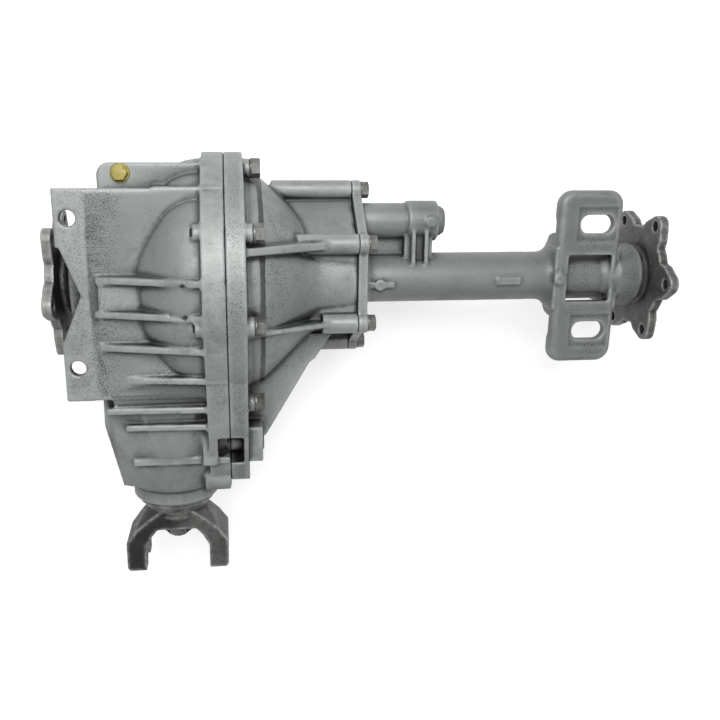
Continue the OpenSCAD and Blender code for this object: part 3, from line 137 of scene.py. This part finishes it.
def round_profile(mesh, profile, near=1.2 * MM, width=7):
    """Turns the cones of a turned shape into one curve.

    The profile gives (distance from the split plane, radius) in mm.
    """
    points = mesh_arrays(mesh)[0]
    ends = np.array(profile, dtype=float)
    steps = np.arange(ends[0, 0], ends[-1, 0], 1.0)
    straight = np.interp(steps, ends[:, 0], ends[:, 1])
    weights = np.exp(-0.5 * (np.arange(-3 * width, 3 * width + 1) / width) ** 2)
    padded = np.pad(straight, 3 * width, mode="reflect", reflect_type="odd")
    curved = np.convolve(padded, weights / weights.sum(), mode="valid")
    along = (points[:, 0] - SPLIT_X) / MM
    radius = np.hypot(points[:, 1], points[:, 2])
    flat = np.interp(along, steps, straight) * MM
    wanted = np.interp(along, steps, curved) * MM
    on_it = (np.abs(radius - flat) < near) & (along > steps[0]) & (along < steps[-1])
    scale = np.where(on_it, wanted / radius, 1.0)
    points[:, 1] *= scale
    points[:, 2] *= scale
    mesh.vertices.foreach_set("co", points.ravel())
    mesh.update()


def mark_edges(mesh, rounds=3, spread=6, reach=0.35 * MM):
    """Keeps how far each point stands out of, or lies in, its surroundings as the attributes edge and pit."""
    points, edges = mesh_arrays(mesh)
    count = np.maximum(np.bincount(edges.ravel(), minlength=len(points)), 1)
    normals = np.empty(len(points) * 3)
    mesh.vertex_normals.foreach_get("vector", normals)
    normals = normals.reshape(-1, 3)
    far = points.copy()
    for _ in range(spread):
        far = neighbour_mean(far, edges, count)
    out = np.einsum("ij,ij->i", points - far, normals)
    for _ in range(rounds):
        out = neighbour_mean(out, edges, count)
    for name, value in (("edge", out / reach), ("pit", -out / reach)):
        layer = mesh.attributes.new(name, "FLOAT", "POINT")
        layer.data.foreach_set("value", np.clip(value, 0, 1).astype(np.float32))


def join_tree(names):
    """One search tree over the outsides of several CAD nodes."""
    points, faces = [], []
    for name in names:
        mesh = nodes[name].data
        base = len(points)
        points += [tuple(v.co) for v in mesh.vertices]
        faces += [tuple(base + i for i in p.vertices) for p in mesh.polygons]
    return BVHTree.FromPolygons(points, faces)


def mark_depth(mesh, tree, reach=60 * MM, rays=8):
    """Keeps how shut in each point lies as the attribute deep, from short rays over its half space."""
    spiral = math.pi * (3 - math.sqrt(5))
    around = []
    for k in range(rays):
        h = 1 - 2 * (k + 0.5) / rays
        w = math.sqrt(1 - h * h)
        around.append(Vector((w * math.cos(k * spiral), w * math.sin(k * spiral), h)) * 0.95)
    shut = np.zeros(len(mesh.vertices))
    for index, vertex in enumerate(mesh.vertices):
        normal = vertex.normal
        start = vertex.co + normal * (1.2 * MM)
        total = 0.0
        for step in around:
            distance = tree.ray_cast(start, normal + step, reach)[3]
            if distance is not None:
                total += 1 - distance / reach
        shut[index] = total / rays
    edges = mesh_arrays(mesh)[1]
    count = np.maximum(np.bincount(edges.ravel(), minlength=len(shut)), 1)
    for _ in range(4):
        shut = 0.5 * shut + 0.5 * neighbour_mean(shut, edges, count)
    layer = mesh.attributes.new("deep", "FLOAT", "POINT")
    layer.data.foreach_set("value", shut.astype(np.float32))


def smooth_shade(mesh):
    mesh.polygons.foreach_set("use_smooth", [True] * len(mesh.polygons))
    mesh.update()


def apply_modifiers(obj):
    graph = bpy.context.evaluated_depsgraph_get()
    mesh = bpy.data.meshes.new_from_object(obj.evaluated_get(graph))
    obj.modifiers.clear()
    obj.data = mesh


def new_object(name, data):
    obj = bpy.data.objects.new(name, data)
    bpy.context.scene.collection.objects.link(obj)
    return obj


def add_block(mesh, corners):
    """Adds the solid that spans the given corners."""
    solid = bmesh.new()
    solid.from_mesh(mesh)
    points = [solid.verts.new(corner) for corner in corners]
    bmesh.ops.convex_hull(solid, input=points)
    solid.to_mesh(mesh)
    solid.free()


def cast_copy(node, name, voxel, rounds, faces, material, body, shape=None, block=None):
    """A copy of a CAD node whose edges are rounded as a casting's are. It stands for the node."""
    obj = new_object(name, nodes[node].data.copy())
    obj.data.materials.clear()
    if block:
        add_block(obj.data, block)
    remesh = obj.modifiers.new("remesh", "REMESH")
    remesh.mode = "VOXEL"
    remesh.voxel_size = voxel
    apply_modifiers(obj)
    if shape:
        shape(obj.data)
    relax(obj.data, rounds)
    triangles = 2 * len(obj.data.polygons)
    if triangles > faces:
        thin = obj.modifiers.new("thin", "DECIMATE")
        thin.ratio = faces / triangles
        apply_modifiers(obj)
    mark_edges(obj.data)
    mark_depth(obj.data, surroundings)
    smooth_shade(obj.data)
    obj.data.materials.append(material)
    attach(obj, body)
    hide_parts(node)
    return obj


def bevelled_copy(node, name, width, finish, edge_material, body):
    """A copy of a CAD node with broken edges in a second material: the metal below the finish on the steel
    parts, painted shade on the fill plug.
    """
    obj = new_object(name, nodes[node].data.copy())
    obj.data.materials.clear()
    obj.data.materials.append(finish)
    obj.data.materials.append(edge_material)
    weld = obj.modifiers.new("weld", "WELD")
    weld.merge_threshold = 0.01 * MM
    bevel = obj.modifiers.new("edges", "BEVEL")
    bevel.width = width
    bevel.segments = 2
    bevel.limit_method = "ANGLE"
    bevel.angle_limit = math.radians(28)
    bevel.harden_normals = True
    bevel.material = 1
    apply_modifiers(obj)
    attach(obj, body)
    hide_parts(node)
    return obj


# Materials

class Shader:
    """A material's node tree, with short calls for the nodes used here."""

    def __init__(self, name):
        self.material = bpy.data.materials.new(name)
        self.material.use_nodes = True
        self.tree = self.material.node_tree
        self.surface = self.tree.nodes["Principled BSDF"]
        self.place = self.tree.nodes.new("ShaderNodeTexCoord").outputs["Object"]

    def node(self, kind, **settings):
        made = self.tree.nodes.new(kind)
        for key, value in settings.items():
            setattr(made, key, value)
        return made

    def put(self, socket, value):
        if isinstance(value, bpy.types.NodeSocket):
            self.tree.links.new(value, socket)
        else:
            socket.default_value = value

    def noise(self, scale, detail=3.0, rough=0.55, twist=0.0):
        made = self.node("ShaderNodeTexNoise")
        self.put(made.inputs["Vector"], self.place)
        for key, value in (("Scale", scale), ("Detail", detail), ("Roughness", rough), ("Distortion", twist)):
            made.inputs[key].default_value = value
        return made.outputs["Fac"]

    def spread(self, value, low, high, to_low=0.0, to_high=1.0):
        made = self.node("ShaderNodeMapRange", interpolation_type="SMOOTHSTEP")
        for index, item in enumerate((value, low, high, to_low, to_high)):
            self.put(made.inputs[index], item)
        return made.outputs["Result"]

    def math(self, operation, a, b=0.0, clamp=False):
        made = self.node("ShaderNodeMath", operation=operation, use_clamp=clamp)
        self.put(made.inputs[0], a)
        self.put(made.inputs[1], b)
        return made.outputs["Value"]

    def mix(self, share, a, b):
        made = self.node("ShaderNodeMix", data_type="RGBA")
        self.put(made.inputs["Factor"], share)
        self.put(made.inputs["A"], a if isinstance(a, bpy.types.NodeSocket) else (*a, 1))
        self.put(made.inputs["B"], b if isinstance(b, bpy.types.NodeSocket) else (*b, 1))
        return made.outputs["Result"]

    def attribute(self, name):
        return self.node("ShaderNodeAttribute", attribute_name=name).outputs["Fac"]

    def along(self, axis):
        made = self.node("ShaderNodeSeparateXYZ")
        self.put(made.inputs["Vector"], self.place)
        return made.outputs[axis]

    def bump(self, height, depth, strength=1.0, below=None):
        made = self.node("ShaderNodeBump")
        made.inputs["Strength"].default_value = strength
        made.inputs["Distance"].default_value = depth
        self.put(made.inputs["Height"], height)
        if below is not None:
            self.put(made.inputs["Normal"], below)
        return made.outputs["Normal"]

    def finish(self, colour, roughness, metallic, normal=None, specular=0.5):
        self.put(self.surface.inputs["Base Color"], colour)
        self.put(self.surface.inputs["Roughness"], roughness)
        self.surface.inputs["Metallic"].default_value = metallic
        self.surface.inputs["Specular IOR Level"].default_value = specular
        if normal is not None:
            self.put(self.surface.inputs["Normal"], normal)
        return self.material


# Colours of the castings
BLASTED_DARK, BLASTED_PALE = (0.168, 0.184, 0.175), (0.245, 0.262, 0.251)
STAIN, GRAIN = (0.105, 0.116, 0.110), (0.120, 0.130, 0.124)
NOSE_TINT, TUBE_TINT, BRACKET_TINT = (0.075, 0.081, 0.077), (0.092, 0.099, 0.094), (0.078, 0.083, 0.080)
BLOOM, RUBBED = (0.52, 0.53, 0.52), (0.34, 0.355, 0.345)
SPECK, GRIME_AND_SHADE, OCCLUSION_SHADE = (0.016, 0.017, 0.016), (0.036, 0.039, 0.037), (0.009, 0.010, 0.009)
OIL_AND_SHADE, SEALANT = (0.012, 0.012, 0.013), (0.02, 0.02, 0.02)

# Colours of the forgings
SCALE_DARK, SCALE_PALE, SCUFF = (0.062, 0.063, 0.060), (0.118, 0.120, 0.115), (0.19, 0.19, 0.18)
RUST, PORE, SHADE = (0.075, 0.050, 0.034), (0.016, 0.016, 0.015), (0.009, 0.009, 0.009)
HOLLOW_SHADE, FLANGE_OIL_AND_SHADE, BRIGHT = (0.014, 0.014, 0.014), (0.010, 0.010, 0.011), (0.34, 0.34, 0.33)


def cast_aluminium(name, grime):
    """Blasted casting: grey with a green tinge, mottled, with dark grains where it is rough or shut in, and
    painted shade in its creases and shut-in places.
    """
    s = Shader(name)
    x, y, z = s.along(0), s.along(1), s.along(2)
    cloudy = s.noise(9, 4, 0.6, 0.4)
    patchy = s.noise(38, 5, 0.65, 0.8)
    grain = s.noise(900, 2, 0.6)
    specks = s.noise(640, 3, 0.75)
    edge, pit, deep = s.attribute("edge"), s.attribute("pit"), s.attribute("deep")
    colour = s.mix(s.spread(cloudy, 0.3, 0.7), BLASTED_DARK, BLASTED_PALE)
    colour = s.mix(s.spread(patchy, 0.5, 0.78, 0, 0.5), colour, STAIN)
    colour = s.mix(s.spread(s.noise(1500, 2, 0.6), 0.35, 0.7, 0, 0.35), colour, GRAIN)
    # The nose, the tube and its bracket are darker
    colour = s.mix(s.spread(y, NOSE_DARKENING[1], NOSE_DARKENING[0], 0.6, 0), colour, NOSE_TINT)
    colour = s.mix(s.spread(x, *TUBE_DARKENING, 0, 0.45), colour, TUBE_TINT)
    colour = s.mix(s.spread(x, *BRACKET_DARKENING, 0, 0.35), colour, BRACKET_TINT)
    # Pale bloom in a few places
    bloom = s.math("MULTIPLY", s.spread(s.noise(26, 5, 0.7, 1.5), 0.66, 0.74), s.spread(specks, 0.45, 0.55))
    colour = s.mix(s.math("MULTIPLY", bloom, 0.4), colour, BLOOM)
    # Dark grains left in the skin, thick on the pad's strip, along the split flange and in corners
    off_split = s.math("ABSOLUTE", s.math("SUBTRACT", x, SPLIT_X))
    off_step = s.math("ABSOLUTE", s.math("SUBTRACT", x, PAD_STEP_X))
    on_pad = s.spread(z, PAD_LOW, PAD_HIGH)
    strip = s.math("MULTIPLY", s.spread(off_step, 5 * MM, 40 * MM, 1, 0), on_pad)
    dirty = s.math("MULTIPLY", s.spread(s.noise(14, 4, 0.7, 0.6), 0.46, 0.7), grime)
    dirty = s.math("ADD", dirty, s.math("MULTIPLY", pit, 0.6), clamp=True)
    dirty = s.math("ADD", dirty, strip, clamp=True)
    dirty = s.math("ADD", dirty, s.spread(off_split, 14 * MM, 24 * MM, 0.55, 0.15), clamp=True)
    dirty = s.math("ADD", dirty, s.spread(deep, 0.2, 0.6, 0, 0.5), clamp=True)
    spots = s.math("MULTIPLY", s.spread(specks, 0.52, 0.62), dirty)
    dense = s.math("MULTIPLY", s.spread(specks, 0.47, 0.55), s.spread(off_step, 3 * MM, 22 * MM, 1, 0))
    dense = s.math("MULTIPLY", dense, s.spread(patchy, 0.4, 0.6))
    spots = s.math("MAXIMUM", spots, s.math("MULTIPLY", dense, on_pad))
    colour = s.mix(s.math("MULTIPLY", spots, 0.95), colour, SPECK)
    # Grime and painted shade in creases and along the undersides of the ribs
    colour = s.mix(s.math("MULTIPLY", pit, 0.7), colour, GRIME_AND_SHADE)
    # Painted shade where the casting is shut in
    colour = s.mix(s.spread(deep, 0.16, 0.52, 0, 0.95), colour, OCCLUSION_SHADE)
    # Old oil and painted shade on everything below the pad's overhang
    oil_and_shade_below_pad = s.math("MULTIPLY", s.spread(x, PAD_STEP_X, PAD_STEP_X + 10 * MM, 1, 0),
                       s.spread(z, BELOW_PAD_LOW, BELOW_PAD_HIGH, 1, 0))
    colour = s.mix(s.math("MULTIPLY", oil_and_shade_below_pad, 0.9), colour, OIL_AND_SHADE)
    # Rubbed edges
    rubbed = s.math("MULTIPLY", edge, s.spread(patchy, 0.35, 0.6, 0.15, 0.5))
    colour = s.mix(rubbed, colour, RUBBED)
    # Sealed joints between the castings
    off_tube = s.math("ABSOLUTE", s.math("SUBTRACT", x, TUBE_X))
    for off_joint in (off_split, off_tube):
        colour = s.mix(s.spread(off_joint, 0.3 * MM, 0.8 * MM, 0.85, 0), colour, SEALANT)
    roughness = s.spread(patchy, 0.3, 0.75, 0.44, 0.64)
    uneven = s.bump(s.noise(70, 3), 0.5 * MM, 0.45)
    normal = s.bump(grain, 0.12 * MM, 0.6, s.bump(specks, 0.15 * MM, 0.35, uneven))
    return s.finish(colour, roughness, 0.25, normal)


def forged_steel(name, tone):
    """Dark grey forging with pale scuffs on its edges and painted shade in its hollows."""
    s = Shader(name)
    patchy = s.noise(30, 5, 0.7, 0.6)
    scale = s.noise(160, 4, 0.7)
    specks = s.noise(520, 3, 0.7)
    grain = s.noise(800, 2)
    edge, pit, deep = s.attribute("edge"), s.attribute("pit"), s.attribute("deep")
    dark, light, scuff = (tuple(tone * c for c in base) for base in (SCALE_DARK, SCALE_PALE, SCUFF))
    colour = s.mix(s.spread(patchy, 0.35, 0.7), dark, light)
    colour = s.mix(s.spread(scale, 0.55, 0.75, 0, 0.6), colour, scuff)
    colour = s.mix(s.spread(s.noise(55, 4, 0.6, 1.2), 0.62, 0.75, 0, 0.3), colour, RUST)
    colour = s.mix(s.spread(specks, 0.58, 0.66, 0, 0.6), colour, PORE)
    # Painted shade where the forging is shut in and in its hollows
    colour = s.mix(s.spread(deep, 0.15, 0.5, 0, 0.9), colour, SHADE)
    colour = s.mix(s.math("MULTIPLY", pit, 0.6), colour, HOLLOW_SHADE)
    # Old oil and painted shade on the left flange's back and on what lies level with it
    back = s.math("MULTIPLY", s.spread(s.along(0), PAD_X - 4 * MM, PAD_X + 1 * MM),
                  s.spread(s.along(0), PAD_X + 90 * MM, PAD_X + 110 * MM, 1, 0))
    colour = s.mix(s.math("MULTIPLY", back, 0.85), colour, FLANGE_OIL_AND_SHADE)
    rubbed = s.math("MULTIPLY", edge, s.spread(scale, 0.35, 0.6, 0.25, 0.85))
    colour = s.mix(rubbed, colour, BRIGHT)
    normal = s.bump(grain, 0.15 * MM, 0.45, s.bump(scale, 0.35 * MM, 0.5))
    return s.finish(colour, s.spread(scale, 0.3, 0.7, 0.44, 0.68), 0.45, normal)


def plain_metal(name, dark, light, rough, metallic=0.85, fine=650):
    """Turned or plated metal with faint marks."""
    s = Shader(name)
    marks = s.noise(fine, 3, 0.6)
    colour = s.mix(s.spread(s.noise(60, 4, 0.6, 0.5), 0.35, 0.68), dark, light)
    colour = s.mix(s.spread(marks, 0.55, 0.75, 0, 0.35), colour, tuple(0.55 * c for c in dark))
    return s.finish(colour, s.spread(marks, 0.3, 0.7, rough - 0.08, rough + 0.12), metallic,
                    s.bump(marks, 0.05 * MM, 0.3))


def moulded_rubber(name):
    s = Shader(name)
    marks = s.noise(500, 3)
    colour = s.mix(s.spread(marks, 0.4, 0.7), (0.012, 0.012, 0.013), (0.035, 0.035, 0.036))
    return s.finish(colour, 0.7, 0.0, s.bump(marks, 0.05 * MM, 0.3))


aluminium = cast_aluminium("cast_aluminium", 0.9)
forging = forged_steel("forged_steel", 0.9)
pale_forging = forged_steel("left_flange_steel", 2.2)
materials = {
    "cast_aluminium": aluminium,
    "forged_steel": forging,
    "gear_steel": plain_metal("gear_steel", (0.11, 0.11, 0.105), (0.17, 0.165, 0.16), 0.34),
    "machined_steel": plain_metal("machined_steel", (0.36, 0.365, 0.37), (0.5, 0.505, 0.51), 0.26),
    "zinc_steel": plain_metal("zinc_steel", (0.085, 0.088, 0.082), (0.19, 0.195, 0.185), 0.45, 0.6),
    "brass": plain_metal("brass", (0.17, 0.14, 0.035), (0.33, 0.28, 0.09), 0.42, 0.5),
    "bronze": plain_metal("bronze", (0.32, 0.2, 0.08), (0.45, 0.3, 0.14), 0.32),
    "rubber": moulded_rubber("rubber"),
}

worn_steel = plain_metal("worn_steel", (0.22, 0.225, 0.22), (0.38, 0.385, 0.38), 0.4, 0.7)
shaded_brass_edge = plain_metal("shaded_brass_edge", (0.05, 0.045, 0.025), (0.12, 0.10, 0.045), 0.5, 0.5)

# Every CAD node gets the finish of its slot
for part in frame["record"]["subparts"]:
    obj = nodes[part["node"]]
    obj.data.materials.clear()
    obj.data.materials.append(materials[part["material_slot"]])

OUTSIDE = ["left_case", "right_case", "axle_tube", "case_bolts", "tube_bolts", "left_output_shaft",
           "right_output_shaft", "pinion_yoke", "dust_shield", "actuator_port_plug"]
surroundings = join_tree(OUTSIDE)

# Fasteners, plugs and the pressed shield with broken edges
BROKEN_EDGE = 0.6 * MM
zinc = materials["zinc_steel"]
bevelled_copy("case_bolts", "case_bolt_set", BROKEN_EDGE, zinc, worn_steel, "housing")
bevelled_copy("tube_bolts", "tube_bolt_set", BROKEN_EDGE, zinc, worn_steel, "housing")
# Painted shade around the fill plug's hex, as dark brass on its broken edges
bevelled_copy("fill_plug", "fill_plug_hex", 2 * BROKEN_EDGE, materials["brass"], shaded_brass_edge,
              "housing")
bevelled_copy("drain_plug", "drain_plug_hex", BROKEN_EDGE, zinc, worn_steel, "housing")
bevelled_copy("actuator_port_plug", "port_plug", BROKEN_EDGE, aluminium, aluminium,
              "housing")
bevelled_copy("pinion_nut", "yoke_nut", BROKEN_EDGE, zinc, worn_steel, "pinion")
bevelled_copy("dust_shield", "pressed_shield", BROKEN_EDGE, zinc, worn_steel, "pinion")

# A copy of the return spring with its own mesh, on the housing
spring = new_object("return_coil", nodes["return_spring"].data.copy())
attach(spring, "housing")
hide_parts("return_spring")
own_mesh(spring)

# Castings and forgings with soft edges: voxel size, then rounds of smoothing
FACES = 190_000
CASE_VOXEL, TUBE_VOXEL, FORGED_VOXEL = 1.5 * MM, 1.2 * MM, 0.9 * MM
LEFT_DOME = [(-118, 78), (-104, 88), (-91, 99), (-77, 111), (-58, 127), (-40, 134), (-23, 135)]
RIGHT_BELL = [(24, 120), (38, 117), (95, 62), (142, 60)]


def fillet_bracket(mesh):
    """Runs the tube's flare into the bracket's side."""
    side_x = TUBE_END_X - 108 * MM
    reach_y = 70 * MM
    soften(mesh, (side_x - 26 * MM, -reach_y, -30 * MM), (side_x + 16 * MM, reach_y, 29 * MM), 40)


# The wall between the pad's lower edge and the rib below it: (y, top, bottom) along it
WALL_ENDS = (SPLIT_X - 122 * MM, SPLIT_X - 20 * MM)
WALL_SECTION = [(-110 * MM, 96.5 * MM, 84 * MM), (-125 * MM, 84 * MM, 74 * MM)]
wall = [(x, y, z) for x in WALL_ENDS for y, top, bottom in WALL_SECTION for z in (top, bottom)]
cast_copy("left_case", "left_casting", CASE_VOXEL, 4, FACES, aluminium, "housing",
          lambda mesh: round_profile(mesh, LEFT_DOME), wall)
cast_copy("right_case", "right_casting", CASE_VOXEL, 4, FACES, aluminium, "housing",
          lambda mesh: round_profile(mesh, RIGHT_BELL))
cast_copy("axle_tube", "tube_casting", TUBE_VOXEL, 6, FACES, aluminium, "housing",
          fillet_bracket)
cast_copy("pinion_yoke", "yoke_forging", FORGED_VOXEL, 5, FACES, forging, "pinion")
cast_copy("left_output_shaft", "left_flange_forging", FORGED_VOXEL, 3, FACES, pale_forging,
          "left_output")
cast_copy("right_output_shaft", "right_flange_forging", FORGED_VOXEL, 3, FACES, forging,
          "right_output")


# Floor, light and camera

def area_light(name, place, target, size, power):
    lamp = bpy.data.lights.new(name, "AREA")
    lamp.energy = power
    lamp.size = size
    obj = new_object(name, lamp)
    obj.location = place
    obj.rotation_euler = (Vector(target) - Vector(place)).to_track_quat("-Z", "Y").to_euler()


FLOOR_HALF = 6.0
CORNER_SIGNS = [(-1, -1), (1, -1), (1, 1), (-1, 1)]
floor_mesh = bpy.data.meshes.new("floor")
floor_corners = [(FLOOR_HALF * i, FLOOR_HALF * j, FLOOR_Z) for i, j in CORNER_SIGNS]
floor_mesh.from_pydata(floor_corners, [], [(0, 1, 2, 3)])
floor = new_object("floor", floor_mesh)
paper = Shader("pale_floor")
# A light table: it glows a little, so that shadows on it stay faint
paper.surface.inputs["Emission Color"].default_value = (1, 1, 1, 1)
paper.surface.inputs["Emission Strength"].default_value = 0.62
floor_mesh.materials.append(paper.finish((0.5, 0.5, 0.5, 1), 0.9, 0.0))

middle = [(a + b) / 2 for a, b in zip(*cad_box)]
area_light("key", (middle[0] - 0.2, middle[1] + 0.9, 1.5), middle, 0.9, 36)
area_light("fill", (middle[0] + 1.3, middle[1] - 0.5, 1.4), middle, 1.2, 6)
area_light("back", (middle[0] - 1.3, middle[1] - 0.9, 1.1), middle, 1.2, 4)

world = bpy.data.worlds.new("studio")
bpy.context.scene.world = world
world.use_nodes = True
world.node_tree.nodes["Background"].inputs["Color"].default_value = (0.95, 0.95, 0.95, 1)
world.node_tree.nodes["Background"].inputs["Strength"].default_value = 0.34

# The photograph's camera stands above the part, leans towards the yoke and looks a little to the left
CAMERA_X, CAMERA_Y, CAMERA_Z = 4.6 * MM, 123.2 * MM, 861 * MM
LEAN, SWING, ROLL = 0.2505, -0.1068, -0.0013
FOCAL_PIXELS, IMAGE_PIXELS, PRINCIPAL_X = 745, 720, 310
right, up, ahead = Vector((1, 0, 0)), Vector((0, 1, 0)), Vector((0, 0, -1))
for angle, axis in ((-LEAN, Vector((1, 0, 0))), (SWING, Vector((0, 1, 0)))):
    turn = Matrix.Rotation(angle, 3, axis)
    right, up, ahead = turn @ right, turn @ up, turn @ ahead
turn = Matrix.Rotation(ROLL, 3, ahead)
right, up = turn @ right, turn @ up

lens = bpy.data.cameras.new("camera")
lens.sensor_width = 36
lens.lens = lens.sensor_width * FOCAL_PIXELS / IMAGE_PIXELS
lens.shift_x = 0.5 - PRINCIPAL_X / IMAGE_PIXELS
lens.clip_start = 0.01
camera = new_object("camera", lens)
camera.matrix_world = (Matrix.Translation((SPLIT_X + CAMERA_X, CAMERA_Y, CAMERA_Z))
                       @ Matrix((right, up, -ahead)).transposed().to_4x4())
bpy.context.scene.camera = camera
bpy.context.scene.view_settings.view_transform = "Standard"
